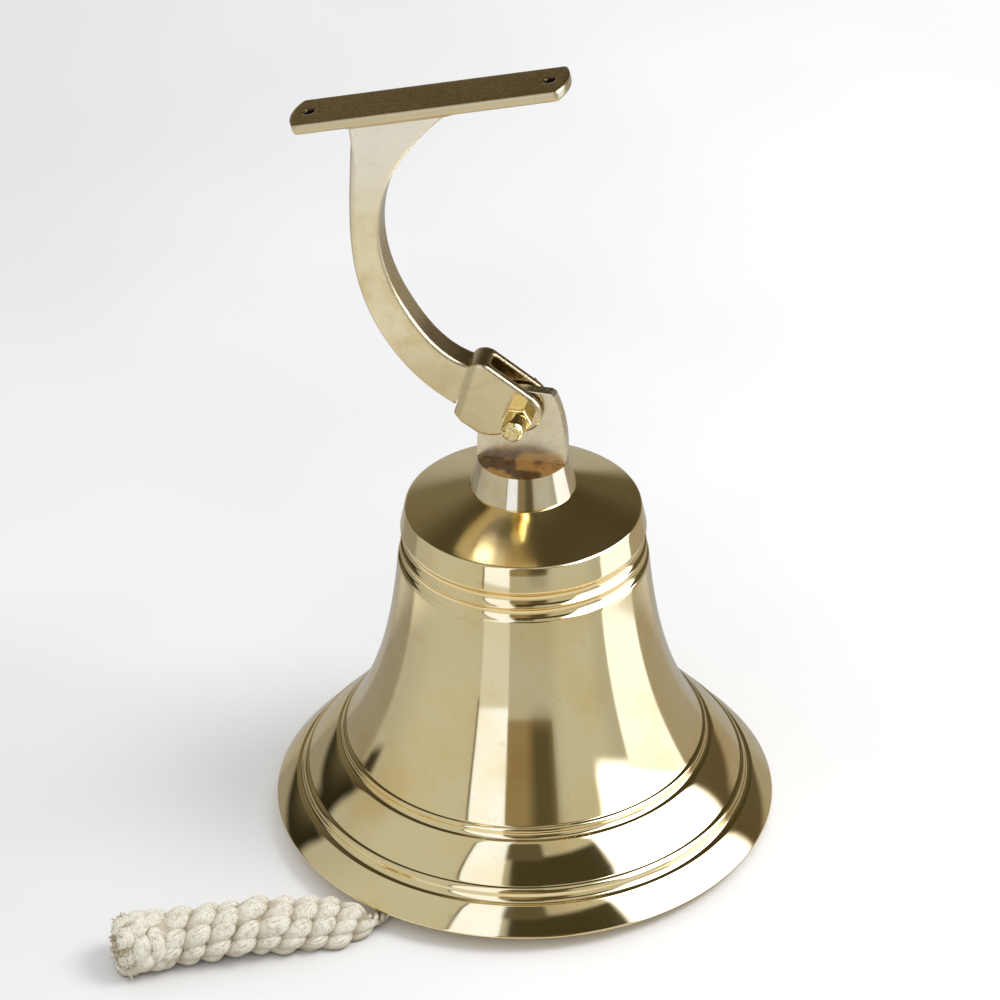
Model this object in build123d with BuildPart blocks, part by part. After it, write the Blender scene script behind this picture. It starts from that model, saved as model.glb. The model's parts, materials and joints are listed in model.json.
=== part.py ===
from build123d import *
import os
from math import cos, exp, radians, sin

# Eight-inch brass ship bell on a pivoting plate bracket, with a clapper and a rope lanyard.
# Millimetres, +Z up. The origin is on the bell's axis in the plane of its mouth, +X lies in
# the bracket's plane and +Y runs along the pivot bolt. The bell stands upright, the bracket
# leans over to its stop, and the lanyard lies out to the side under the lip.

# ---- driving dimensions ----------------------------------------------------------------

# bell
MOUTH_R = 101.5
LIP_T = 4.5              # width of the flat rim at the mouth
WALL = 4.5
CROWN_T = 6.0            # thickness of the crown under the hanger
CROWN_RIM_R = 46.6
CROWN_RIM_Z = 138.9
SEAT_R = 21.2            # where the crown's cone meets the hanger's collar
SEAT_Z = 148.1
WAIST_FOOT_Z = 33.3
WAIST_TOP_Z = 115.8
WAIST_R = 46.3           # the radius that the waist settles to
WAIST_FLARE = 26.1       # how much wider its foot is
WAIST_RISE = 42.0        # height over which the flare dies away

# hanger
COLLAR_TOP_R = 18.0
COLLAR_TOP_Z = 161.5
TONGUE_TOP_Z = 192.4
TONGUE_FOOT_T = 8.2
TONGUE_TOP_T = 5.0
PIVOT_Z = 185.0

# bracket, in its own plane with the pivot as origin
BRACKET_LEAN = 14.0
PLATE_FACE = 137.3       # from the pivot to the mounting face
PLATE_T = 4.5
PLATE_L = 111.0
PLATE_W = 21.0
PLATE_CENTRE = -2.6
PLATE_END_CROWN = 3.0    # how far each rounded end stands past its corners
SCREW_SPACING = 96.0
SCREW_HOLE_R = 2.15
FOOT_T = 1.4
FOOT_W = 15.0
FOOT_L = 43.0
FOOT_CENTRE = -12.0
ARM_T = 12.0
HEAD_T = 14.4
EAR_R = 8.7
SLOT_W = 7.8
SLOT_R = 22.6            # the slot's root, round the pivot
SLOT_ROUND = 1.5
NECK_BEVEL = 2.6         # width of the bevel between head and arm
HEAD_ROUND = 0.9
ARM_OUTER_ROUND = 2.4
ARM_INNER_ROUND = 1.0
PLATE_ROUND = 1.5

# pivot bolt
BOLT_R = 3.0
RUNNING_GAP = 0.05
THREAD_GAP = 0.02
BOLT_HEAD_AF = 10.0
BOLT_HEAD_T = 4.0
WASHER_T = 1.2
WASHER_R = 6.2
NUT_AF = 10.4
NUT_HEX_L = 6.2
DOME_R = 4.6
DOME_L = 8.8             # length of the rounded end beyond the hexagon
DOME_END_R = 3.1

# fixing through the crown
STUD_R = 5.0
STUD_TOP_Z = 158.0
STUD_BOTTOM_Z = 124.0
CROWN_HOLE_R = 5.4
CROWN_WASHER_R = 13.0
CROWN_WASHER_T = 2.0
CLAMP_NUT_AF = 16.0
CLAMP_NUT_T = 8.0

# clapper, along its own axis from the pin
CLAPPER_PIN_Z = 112.0
CLAPPER_LEAN = 34.0      # it leans towards the lanyard until the ball all but rings
CLAPPER_PIN_R = 3.0
SPLIT_PIN_R = 0.85
SPLIT_PIN_L = 9.0        # how far it reaches below the hinge pin's axis
SPLIT_RING_R = 2.0
CLEVIS_SLOT_W = 6.4
CLEVIS_T = 14.4
CLEVIS_R = 8.0
CLEVIS_TURN_R = 9.2      # its corners are turned down to this
CLEVIS_SLOT_ROOT = 8.8   # above the pin
PIN_HEAD_R = 4.6
PIN_HEAD_T = 2.0
PIN_REACH = 4.4          # how far the hinge pin stands out of the clevis
ROD_EYE_T = 6.0
ROD_EYE_R = 7.0
ROD_R = 4.0
ROD_EYE_FOOT = 13.0      # from the pin to where the flat eye ends
ROD_FLANGE_R = 6.1
ROD_FLANGE_T = 2.6
SPIGOT_R = 3.5
BALL_R = 14.5
BALL_FLAT = 13.0         # from the ball's centre to the flats that its fittings seat on
BALL_DROP = 78.0
TAIL_DROP = 103.0
TAIL_RING_R = 5.4
TAIL_WIRE_R = 2.2
TAIL_HUB_R = 5.5
SPIGOT_END = BALL_DROP + BALL_R + 3.0

# lanyard
PULL_AZIMUTH = 246.0     # direction, seen from above, in which the lanyard leaves the bell
NECK_SLOPE = 42.0
CORD_R = 2.4
LOOP_R = 7.5
WHIPPING_R = 4.6
WHIPPING_L = 9.0
NECK_R = 2.9
NECK_END_R = 104.0       # where the neck ends, from the bell's axis
UNDER_LIP_Z = -5.0
BEND_BALL = 3.75         # half the spacing of the two round ends at the bend
SENNIT_R = 12.0
TAPER_L = 27.0           # from the bend to where the sennit has its full thickness
FLEX_BALL = 12.35
KNOT_R = 12.8
KNOT_L = 21.0
LANYARD_FLEX = (-83.4, -113.3, 3.1)   # half way along the sennit
LANYARD_TIP = (-137.0, -135.6, 1.3)

os.makedirs("parts", exist_ok=True)


# ---- directions and planes -------------------------------------------------------------

lean = radians(BRACKET_LEAN)
bracket_plane = Plane(
    origin=(0, 0, PIVOT_Z), x_dir=(cos(lean), 0, sin(lean)), z_dir=(0, -1, 0)
)
mounting_plane = Plane(
    origin=bracket_plane.from_local_coords(Vector(PLATE_CENTRE, PLATE_FACE, 0)),
    x_dir=(cos(lean), 0, sin(lean)),
    z_dir=(-sin(lean), 0, cos(lean)),
)
mounting_axis = Axis(mounting_plane.origin, mounting_plane.z_dir)

up = Vector(0, 0, 1)
pull = Vector(cos(radians(PULL_AZIMUTH)), sin(radians(PULL_AZIMUTH)), 0)
across = up.cross(pull)
swing = radians(CLAPPER_LEAN)
clapper_pin = Vector(0, 0, CLAPPER_PIN_Z)
clapper_up = up * cos(swing) - pull * sin(swing)
clapper_side = Plane(
    origin=clapper_pin, x_dir=pull * cos(swing) + up * sin(swing), z_dir=-across
)
clapper_axis = Axis(clapper_pin, clapper_up)
tail_eye = clapper_pin - clapper_up * TAIL_DROP
neck_slope = radians(NECK_SLOPE)
neck_way = pull * cos(neck_slope) - up * sin(neck_slope)


# ---- the bell --------------------------------------------------------------------------

def waist_radius(z):
    """Outer radius of the waist, a flare that dies away upwards."""
    return WAIST_R + WAIST_FLARE * exp(-(z - WAIST_FOOT_Z) / WAIST_RISE)


def waist_points(inset, low, high, count):
    """Points up the waist, moved in by inset."""
    steps = [low + (high - low) * i / (count - 1) for i in range(count)]
    return [(waist_radius(z) - inset, z) for z in steps]


with BuildPart() as bell_body:
    with BuildSketch(Plane.XZ):
        with BuildLine():
            # lip, its bead and cove, then the skirt up to the second bead
            Line((MOUTH_R - LIP_T, 0), (MOUTH_R - 0.5, 0))
            Line((MOUTH_R - 0.5, 0), (MOUTH_R, 0.6))
            SagittaArc((MOUTH_R, 0.6), (92.9, 10.1), -0.35)
            SagittaArc((92.9, 10.1), (90.2, 13.3), 1.1)
            SagittaArc((90.2, 13.3), (88.0, 15.6), -0.6)
            SagittaArc((88.0, 15.6), (76.2, 28.9), -0.55)
            SagittaArc((76.2, 28.9), (74.1, 31.9), 1.1)
            SagittaArc((74.1, 31.9), (waist_radius(WAIST_FOOT_Z), WAIST_FOOT_Z), -0.45)
            # waist, the two beads of its neck, and the plain band under the crown
            waist = Spline(*waist_points(0, WAIST_FOOT_Z, WAIST_TOP_Z, 7))
            SagittaArc(waist @ 1, (49.1, 121.6), 1.5)
            SagittaArc((49.1, 121.6), (48.7, 128.0), 1.8)
            Line((48.7, 128.0), (48.9, 128.9))
            Line((48.9, 128.9), (CROWN_RIM_R + 0.3, CROWN_RIM_Z - 0.4))
            Line((CROWN_RIM_R + 0.3, CROWN_RIM_Z - 0.4), (CROWN_RIM_R - 0.3, CROWN_RIM_Z))
            # crown, and down the hole for the stud
            Line((CROWN_RIM_R - 0.3, CROWN_RIM_Z), (SEAT_R, SEAT_Z))
            Line((SEAT_R, SEAT_Z), (CROWN_HOLE_R, SEAT_Z))
            Line((CROWN_HOLE_R, SEAT_Z), (CROWN_HOLE_R, SEAT_Z - CROWN_T))
            Line((CROWN_HOLE_R, SEAT_Z - CROWN_T), (15.5, SEAT_Z - CROWN_T))
            # inside, back down to the mouth
            Line((15.5, SEAT_Z - CROWN_T), (38.0, 134.0))
            inside = Spline(
                *reversed(waist_points(WALL, 40.0, 122.0, 6)),
                tangents=[(0.05, -1), (0.62, -1)],
            )
            Spline((38.0, 134.0), inside @ 0, tangents=[(1, -0.35), (0.05, -1)])
            Spline(inside @ 1, (MOUTH_R - LIP_T, 0), tangents=[(0.62, -1), (1, -0.9)])
        make_face()
    revolve(axis=Axis.Z)
bell_body.part.label = "bell_body"
export_step(bell_body.part, "parts/bell_body.step")


# ---- the hanger: a turned collar with a flat tongue, on a stud through the crown --------

def tongue_cheek():
    """Outline of what is milled off the front of the tongue, seen along X."""
    foot = TONGUE_FOOT_T / 2
    top = TONGUE_TOP_T / 2
    height = TONGUE_TOP_Z + 2
    return [
        (foot, COLLAR_TOP_Z),
        (COLLAR_TOP_R + 4, COLLAR_TOP_Z),
        (COLLAR_TOP_R + 4, height),
        (top, height),
    ]


with BuildPart() as hanger:
    with BuildSketch(Plane.XZ):
        with BuildLine():
            Line((0, SEAT_Z), (SEAT_R - 0.2, SEAT_Z))
            Line((SEAT_R - 0.2, SEAT_Z), (SEAT_R - 0.1, SEAT_Z + 0.8))
            Line((SEAT_R - 0.1, SEAT_Z + 0.8), (COLLAR_TOP_R, COLLAR_TOP_Z))
            Spline(
                (COLLAR_TOP_R, COLLAR_TOP_Z), (17.9, 170.0), (16.7, 180.0), (13.2, 191.2),
                tangents=[(0.02, 1), (-0.45, 1)],
            )
            Line((13.2, 191.2), (11.6, TONGUE_TOP_Z))
            Line((11.6, TONGUE_TOP_Z), (0, TONGUE_TOP_Z + 0.4))
            Line((0, TONGUE_TOP_Z + 0.4), (0, SEAT_Z))
        make_face()
    revolve(axis=Axis.Z)
    with BuildSketch(Plane.YZ):
        Polygon(*tongue_cheek(), align=None)
        mirror(about=Plane.YZ)
    extrude(amount=COLLAR_TOP_R + 4, both=True, mode=Mode.SUBTRACT)
    fillet(hanger.edges().group_by(Axis.Z)[-1], 0.4)
    with BuildSketch(Plane.XZ):
        with Locations((0, PIVOT_Z)):
            Circle(BOLT_R + RUNNING_GAP)
    extrude(amount=SEAT_R, both=True, mode=Mode.SUBTRACT)
    with BuildSketch(Plane.XY.offset(SEAT_Z)):
        Circle(STUD_R + THREAD_GAP)
    extrude(amount=STUD_TOP_Z + 0.5 - SEAT_Z, mode=Mode.SUBTRACT)
hanger.part.label = "hanger"
export_step(hanger.part, "parts/hanger.step")

with BuildPart() as hanger_stud:
    with BuildSketch(Plane.XY.offset(STUD_BOTTOM_Z)):
        Circle(STUD_R)
    extrude(amount=STUD_TOP_Z - STUD_BOTTOM_Z)
    chamfer(hanger_stud.edges(), 0.8)
hanger_stud.part.label = "hanger_stud"
export_step(hanger_stud.part, "parts/hanger_stud.step")

washer_top = SEAT_Z - CROWN_T
nut_top = washer_top - CROWN_WASHER_T
clevis_top = nut_top - CLAMP_NUT_T

with BuildPart() as crown_washer:
    with BuildSketch(Plane.XY.offset(nut_top)):
        Circle(CROWN_WASHER_R)
        Circle(CROWN_HOLE_R, mode=Mode.SUBTRACT)
    extrude(amount=CROWN_WASHER_T)
    chamfer(crown_washer.edges().group_by(Axis.Z)[0].sort_by(SortBy.LENGTH)[-1], 0.5)
crown_washer.part.label = "crown_washer"
export_step(crown_washer.part, "parts/crown_washer.step")

with BuildPart() as clamp_nut:
    with BuildSketch(Plane.XY.offset(clevis_top)):
        RegularPolygon(CLAMP_NUT_AF / 2, 6, major_radius=False)
        Circle(STUD_R + THREAD_GAP, mode=Mode.SUBTRACT)
    extrude(amount=CLAMP_NUT_T)
    chamfer(clamp_nut.edges().filter_by(GeomType.CIRCLE), 0.5)
clamp_nut.part.label = "clamp_nut"
export_step(clamp_nut.part, "parts/clamp_nut.step")


# ---- the bracket: plate, swan-neck arm and forked head in one casting -------------------

ear_angle = radians(41)
ear_tangent = (EAR_R * cos(ear_angle), EAR_R * sin(ear_angle))
neck_top = Vector(-15.2, 22.6)
neck_foot = Vector(-26.2, 3.2)
neck_middle = bracket_plane.from_local_coords((neck_top + neck_foot) / 2)

with BuildPart() as fork_head:
    with BuildSketch(bracket_plane):
        with BuildLine():
            Line(neck_top, neck_foot)
            Line(neck_foot, (-24.6, -0.6))
            Line((-24.6, -0.6), (-19.4, -6.2))
            SagittaArc((-19.4, -6.2), (-13.0, -EAR_R), -0.5)
            Line((-13.0, -EAR_R), (0, -EAR_R))
            ThreePointArc((0, -EAR_R), (EAR_R, 0), ear_tangent)
            Line(ear_tangent, (-6.9, 21.2))
            SagittaArc((-6.9, 21.2), neck_top, -1.6)
        make_face()
    extrude(amount=HEAD_T / 2, both=True)
    for side in (0, -1):
        cheek = fork_head.faces().sort_by(Axis.Y)[side]
        neck_edge = cheek.edges().sort_by_distance(neck_middle)[0]
        chamfer(neck_edge, length=NECK_BEVEL, length2=(HEAD_T - ARM_T) / 2, reference=cheek)
    for side in (0, -1):
        fillet(fork_head.faces().sort_by(Axis.Y)[side].edges(), HEAD_ROUND)

with BuildPart() as arm:
    with BuildSketch(bracket_plane):
        root = PLATE_FACE - PLATE_T + 0.5
        with BuildLine():
            Spline(
                (-25.5, 6.0), (-42.3, 29.0), (-49.8, 62.0), (-44.7, 96.3), (-35.4, 128.0)
            )
            Line((-35.4, 128.0), (-34.6, root))
            Line((-34.6, root), (8.5, root))
            Spline(
                (8.5, root), (-14.6, 118.0), (-31.0, 97.5), (-36.9, 70.0),
                (-32.7, 47.8), (-20.5, 26.3), (-12.5, 21.0),
            )
            Line((-12.5, 21.0), (-25.5, 6.0))
        make_face()
    extrude(amount=ARM_T / 2, both=True)
    for side in (0, -1):
        curves = arm.faces().sort_by(Axis.Y)[side].edges().filter_by(GeomType.BSPLINE)
        fillet(curves.sort_by(Axis.X)[0], ARM_OUTER_ROUND)
    for side in (0, -1):
        curves = arm.faces().sort_by(Axis.Y)[side].edges().filter_by(GeomType.BSPLINE)
        fillet(curves.sort_by(Axis.X)[-1], ARM_INNER_ROUND)

with BuildPart() as bracket:
    # plate with crowned ends, rounded underneath, on a shallow foot
    with BuildSketch(mounting_plane):
        half = PLATE_L / 2 - PLATE_END_CROWN
        with BuildLine():
            Line((-half, PLATE_W / 2), (half, PLATE_W / 2))
            ThreePointArc((half, PLATE_W / 2), (PLATE_L / 2, 0), (half, -PLATE_W / 2))
            Line((half, -PLATE_W / 2), (-half, -PLATE_W / 2))
            ThreePointArc((-half, -PLATE_W / 2), (-PLATE_L / 2, 0), (-half, PLATE_W / 2))
        make_face()
    extrude(amount=-PLATE_T)
    fillet(bracket.edges().filter_by(mounting_axis), 2.0)
    fillet(bracket.faces().sort_by(mounting_axis)[0].edges(), PLATE_ROUND)
    chamfer(bracket.faces().sort_by(mounting_axis)[-1].edges(), 0.25)
    with BuildSketch(mounting_plane.offset(-PLATE_T)):
        with Locations((FOOT_CENTRE, 0)):
            RectangleRounded(FOOT_L, FOOT_W, 2)
    extrude(amount=-FOOT_T)
    add(arm.part)
    add(fork_head.part)
    # slot for the tongue, then the bolt hole and the two screw holes
    with BuildSketch(bracket_plane):
        Circle(SLOT_R)
    extrude(amount=SLOT_W / 2, both=True, mode=Mode.SUBTRACT)
    roots = bracket.faces().filter_by(
        lambda face: face.geom_type == GeomType.CYLINDER and abs(face.radius - SLOT_R) < 0.01
    )
    fillet(roots.edges().filter_by(GeomType.CIRCLE).filter_by_position(
        Axis.Y, -SLOT_W / 2, SLOT_W / 2), SLOT_ROUND)
    with BuildSketch(bracket_plane):
        Circle(BOLT_R + RUNNING_GAP)
    extrude(amount=HEAD_T, both=True, mode=Mode.SUBTRACT)
    with BuildSketch(mounting_plane):
        with GridLocations(SCREW_SPACING, 0, 2, 1):
            Circle(SCREW_HOLE_R)
    extrude(amount=-PLATE_T, mode=Mode.SUBTRACT)
bracket.part.label = "bracket"
export_step(bracket.part, "parts/bracket.step")


# ---- pivot bolt, with its head on the far side and a domed cap nut on the near side ------

pivot_axis = Axis((0, 0, PIVOT_Z), (0, 1, 0))
pivot_level = Plane.XY.offset(PIVOT_Z)
washer_outer = HEAD_T / 2 + WASHER_T
nut_hex_end = HEAD_T / 2 + NUT_HEX_L
nut_tip = nut_hex_end + DOME_L
bolt_tip = nut_tip - 5.0

with BuildPart() as pivot_bolt:
    with BuildSketch(Plane.XZ.offset(-washer_outer)):
        with Locations((0, PIVOT_Z)):
            RegularPolygon(BOLT_HEAD_AF / 2, 6, major_radius=False)
    extrude(amount=-BOLT_HEAD_T)
    fillet(pivot_bolt.faces().sort_by(Axis.Y)[-1].edges(), 0.5)
    with BuildSketch(Plane.XZ.offset(-washer_outer)):
        with Locations((0, PIVOT_Z)):
            Circle(BOLT_R)
    extrude(amount=washer_outer + bolt_tip)
    chamfer(pivot_bolt.faces().sort_by(Axis.Y)[0].edges(), 0.5)
pivot_bolt.part.label = "pivot_bolt"
export_step(pivot_bolt.part, "parts/pivot_bolt.step")

with BuildPart() as pivot_washer:
    with BuildSketch(Plane.XZ.offset(-washer_outer)):
        with Locations((0, PIVOT_Z)):
            Circle(WASHER_R)
            Circle(BOLT_R + RUNNING_GAP, mode=Mode.SUBTRACT)
    extrude(amount=WASHER_T)
    fillet(pivot_washer.edges().filter_by(GeomType.CIRCLE).sort_by(SortBy.LENGTH)[-2:], 0.3)
pivot_washer.part.label = "pivot_washer"
export_step(pivot_washer.part, "parts/pivot_washer.step")

with BuildPart() as pivot_cap_nut:
    with BuildSketch(Plane.XZ.offset(HEAD_T / 2)):
        with Locations((0, PIVOT_Z)):
            RegularPolygon(NUT_AF / 2, 6, major_radius=False)
    extrude(amount=NUT_HEX_L)
    fillet(pivot_cap_nut.faces().sort_by(Axis.Y)[0].edges(), 0.6)
    with BuildSketch(pivot_level):
        with BuildLine():
            Line((0, -HEAD_T / 2 - 1), (DOME_R, -HEAD_T / 2 - 1))
            Line((DOME_R, -HEAD_T / 2 - 1), (DOME_R, -nut_hex_end - 4.6))
            Spline(
                (DOME_R, -nut_hex_end - 4.6), (DOME_END_R, -nut_tip),
                tangents=[(0, -1), (-1, -0.45)],
            )
            Line((DOME_END_R, -nut_tip), (0, -nut_tip))
            Line((0, -nut_tip), (0, -HEAD_T / 2 - 1))
        make_face()
    revolve(axis=pivot_axis)
    with BuildSketch(Plane.XZ.offset(HEAD_T / 2)):
        with Locations((0, PIVOT_Z)):
            Circle(BOLT_R + THREAD_GAP)
    extrude(amount=bolt_tip + 0.4 - HEAD_T / 2, mode=Mode.SUBTRACT)
pivot_cap_nut.part.label = "pivot_cap_nut"
export_step(pivot_cap_nut.part, "parts/pivot_cap_nut.step")


# ---- clevis on the stud, with the pin that the clapper swings on ------------------------

clevis_side = Plane(origin=clapper_pin, x_dir=pull, z_dir=-across)
clevis_height = clevis_top - CLAPPER_PIN_Z
pin_hole_at = clapper_pin + across * (CLEVIS_T + PIN_REACH) / 2

with BuildPart() as clapper_clevis:
    with BuildSketch(clevis_side):
        Circle(CLEVIS_R)
        with Locations((0, clevis_height / 2)):
            Rectangle(2 * CLEVIS_R, clevis_height)
    extrude(amount=CLEVIS_T / 2, both=True)
    with BuildSketch(Plane.XY.offset(clevis_top)):
        Circle(CLEVIS_TURN_R)
    extrude(amount=-2 * clevis_height, mode=Mode.INTERSECT)
    with BuildSketch(clevis_side):
        Rectangle(2 * CLEVIS_TURN_R, 2 * CLEVIS_SLOT_ROOT)
    extrude(amount=CLEVIS_SLOT_W / 2, both=True, mode=Mode.SUBTRACT)
    with BuildSketch(clevis_side):
        Circle(CLAPPER_PIN_R + THREAD_GAP)
    extrude(amount=CLEVIS_T, both=True, mode=Mode.SUBTRACT)
    with BuildSketch(Plane.XY.offset(STUD_BOTTOM_Z - 0.4)):
        Circle(STUD_R + THREAD_GAP)
    extrude(amount=clevis_height, mode=Mode.SUBTRACT)
clapper_clevis.part.label = "clapper_clevis"
export_step(clapper_clevis.part, "parts/clapper_clevis.step")

with BuildPart() as clapper_hinge_pin:
    with BuildSketch(Plane(origin=clapper_pin - across * CLEVIS_T / 2, z_dir=-across)):
        Circle(PIN_HEAD_R)
    extrude(amount=PIN_HEAD_T)
    fillet(clapper_hinge_pin.edges().sort_by_distance(clapper_pin)[-1], 0.6)
    with BuildSketch(Plane(origin=clapper_pin - across * CLEVIS_T / 2, z_dir=across)):
        Circle(CLAPPER_PIN_R)
    extrude(amount=CLEVIS_T + PIN_REACH)
    with BuildSketch(Plane(origin=pin_hole_at, z_dir=up)):
        Circle(SPLIT_PIN_R + RUNNING_GAP)
    extrude(amount=CLAPPER_PIN_R + 1, both=True, mode=Mode.SUBTRACT)
clapper_hinge_pin.part.label = "clapper_hinge_pin"
export_step(clapper_hinge_pin.part, "parts/clapper_hinge_pin.step")

with BuildPart() as split_pin:
    with BuildSketch(Plane(origin=pin_hole_at - up * SPLIT_PIN_L, z_dir=up)):
        Circle(SPLIT_PIN_R)
    extrude(amount=SPLIT_PIN_L + CLAPPER_PIN_R + 1.2)
    ring_at = pin_hole_at + up * (CLAPPER_PIN_R + SPLIT_RING_R + 0.8)
    with Locations(Location(Plane(origin=ring_at, x_dir=pull, z_dir=across))):
        Torus(SPLIT_RING_R, SPLIT_PIN_R - 0.1)
split_pin.part.label = "split_pin"
export_step(split_pin.part, "parts/split_pin.step")


# ---- the clapper: rod, ball, and the ring at its tail -----------------------------------

flange_z = BALL_FLAT - BALL_DROP

with BuildPart() as clapper_rod:
    with BuildSketch(clapper_side):
        Circle(ROD_EYE_R)
        with Locations((0, -ROD_EYE_FOOT / 2)):
            Rectangle(2 * ROD_R + 0.6, ROD_EYE_FOOT)
    extrude(amount=ROD_EYE_T / 2, both=True)
    with BuildSketch(clapper_side):
        with BuildLine():
            Polyline(
                (0, -10.0), (2.8, -10.0), (ROD_R, -ROD_EYE_FOOT - 1.0),
                (ROD_R, flange_z + ROD_FLANGE_T + 1.0), (ROD_FLANGE_R, flange_z + ROD_FLANGE_T),
                (ROD_FLANGE_R, flange_z), (SPIGOT_R, flange_z),
                (SPIGOT_R, -SPIGOT_END), (0, -SPIGOT_END), close=True,
            )
        make_face()
    revolve(axis=clapper_axis)
    with BuildSketch(clapper_side):
        Circle(CLAPPER_PIN_R + RUNNING_GAP)
    extrude(amount=ROD_EYE_T, both=True, mode=Mode.SUBTRACT)
clapper_rod.part.label = "clapper_rod"
export_step(clapper_rod.part, "parts/clapper_rod.step")

with BuildPart() as clapper_ball:
    with BuildSketch(clapper_side):
        with Locations((0, -BALL_DROP)):
            Circle(BALL_R)
            Rectangle(2 * BALL_R, 2 * BALL_FLAT, mode=Mode.INTERSECT)
            with Locations((-BALL_R, 0)):
                Rectangle(2 * BALL_R + 2 * SPIGOT_R + 2 * THREAD_GAP, 2 * BALL_R, mode=Mode.SUBTRACT)
    revolve(axis=clapper_axis)
clapper_ball.part.label = "clapper_ball"
export_step(clapper_ball.part, "parts/clapper_ball.step")

hub_plane = Plane(origin=clapper_pin - clapper_up * (BALL_DROP + BALL_FLAT), z_dir=-clapper_up)
hub_length = TAIL_DROP - TAIL_RING_R - BALL_DROP - BALL_FLAT

with BuildPart() as clapper_tail_ring:
    with BuildSketch(hub_plane):
        Circle(TAIL_HUB_R)
    extrude(amount=hub_length)
    hub_ends = clapper_tail_ring.edges().filter_by(GeomType.CIRCLE)
    fillet(hub_ends.sort_by_distance(tail_eye)[0], 1.2)
    with Locations(Location(Plane(origin=tail_eye, x_dir=pull, z_dir=across))):
        Torus(TAIL_RING_R, TAIL_WIRE_R)
    with BuildSketch(hub_plane):
        Circle(SPIGOT_R + THREAD_GAP)
    extrude(amount=SPIGOT_END - BALL_DROP - BALL_FLAT + 0.2, mode=Mode.SUBTRACT)
clapper_tail_ring.part.label = "clapper_tail_ring"
export_step(clapper_tail_ring.part, "parts/clapper_tail_ring.step")


# ---- the lanyard: a loop through the tail ring, a neck under the lip, then fat sennit ----

loop_end = LOOP_R * 2 + CORD_R
neck_start = loop_end + WHIPPING_L
bend = pull * NECK_END_R + up * UNDER_LIP_Z

with BuildPart(Plane(tail_eye + neck_way * LOOP_R, across, across.cross(neck_way))) as rope_loop:
    Torus(LOOP_R, CORD_R)
rope_loop.part.label = "rope_loop"
export_step(rope_loop.part, "parts/rope_loop.step")

with BuildPart() as rope_whipping:
    with BuildSketch(Plane(origin=tail_eye + neck_way * loop_end, z_dir=neck_way)):
        Circle(WHIPPING_R)
    extrude(amount=WHIPPING_L)
    fillet(rope_whipping.edges(), 1.0)
rope_whipping.part.label = "rope_whipping"
export_step(rope_whipping.part, "parts/rope_whipping.step")

with BuildPart() as rope_neck:
    with BuildLine() as neck_line:
        Spline(
            tail_eye + neck_way * neck_start,
            pull * 92.0 + up * -4.2,
            bend - pull * BEND_BALL,
            tangents=[neck_way, pull],
        )
    with BuildSketch(Plane(origin=neck_line.line @ 0, z_dir=neck_way)):
        Circle(NECK_R)
    sweep()
    with Locations(neck_line.line @ 1):
        Sphere(NECK_R)
rope_neck.part.label = "rope_neck"
export_step(rope_neck.part, "parts/rope_neck.step")

flex = Vector(*LANYARD_FLEX)
upper_way = (flex - bend).normalized()
lower_way = (Vector(*LANYARD_TIP) - flex).normalized()
upper_length = (flex - bend).length
knot_at = (Vector(*LANYARD_TIP) - flex).length - KNOT_L


def along(origin, way):
    """Plane whose Y runs along the lanyard from origin, to draw a half outline on."""
    side = up.cross(way).normalized()
    return Plane(origin=origin, x_dir=side, z_dir=side.cross(way))


with BuildPart() as rope_sennit_upper:
    start_r = NECK_R + 0.2
    last = upper_length - FLEX_BALL
    with BuildSketch(along(bend, upper_way)):
        with BuildLine():
            RadiusArc((0, BEND_BALL - start_r), (start_r, BEND_BALL), start_r)
            Spline(
                (start_r, BEND_BALL), (8.6, 9.5), (11.4, 17.5), (SENNIT_R, TAPER_L),
                tangents=[(0.5, 1), (0, 1)],
            )
            Line((SENNIT_R, TAPER_L), (SENNIT_R, last))
            RadiusArc((SENNIT_R, last), (0, last + SENNIT_R), SENNIT_R)
            Line((0, last + SENNIT_R), (0, BEND_BALL - start_r))
        make_face()
    revolve(axis=Axis(bend, upper_way))
rope_sennit_upper.part.label = "rope_sennit_upper"
export_step(rope_sennit_upper.part, "parts/rope_sennit_upper.step")

with BuildPart() as rope_sennit_lower:
    with BuildSketch(along(flex, lower_way)):
        with BuildLine():
            RadiusArc((0, FLEX_BALL - SENNIT_R), (SENNIT_R, FLEX_BALL), SENNIT_R)
            Line((SENNIT_R, FLEX_BALL), (SENNIT_R, knot_at))
            Line((SENNIT_R, knot_at), (0, knot_at))
            Line((0, knot_at), (0, FLEX_BALL - SENNIT_R))
        make_face()
    revolve(axis=Axis(flex, lower_way))
rope_sennit_lower.part.label = "rope_sennit_lower"
export_step(rope_sennit_lower.part, "parts/rope_sennit_lower.step")

with BuildPart() as rope_end_knot:
    with BuildSketch(Plane(origin=flex + lower_way * knot_at, z_dir=lower_way)):
        Circle(KNOT_R)
    extrude(amount=KNOT_L)
    rims = rope_end_knot.edges().filter_by(GeomType.CIRCLE).sort_by_distance(bend)
    fillet(rims[-1], 4.0)
    fillet(rope_end_knot.edges().filter_by(GeomType.CIRCLE).sort_by_distance(bend)[0], 0.7)
rope_end_knot.part.label = "rope_end_knot"
export_step(rope_end_knot.part, "parts/rope_end_knot.step")
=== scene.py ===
import json
import math

import bpy
import numpy as np
from mathutils import Matrix, Vector


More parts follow.
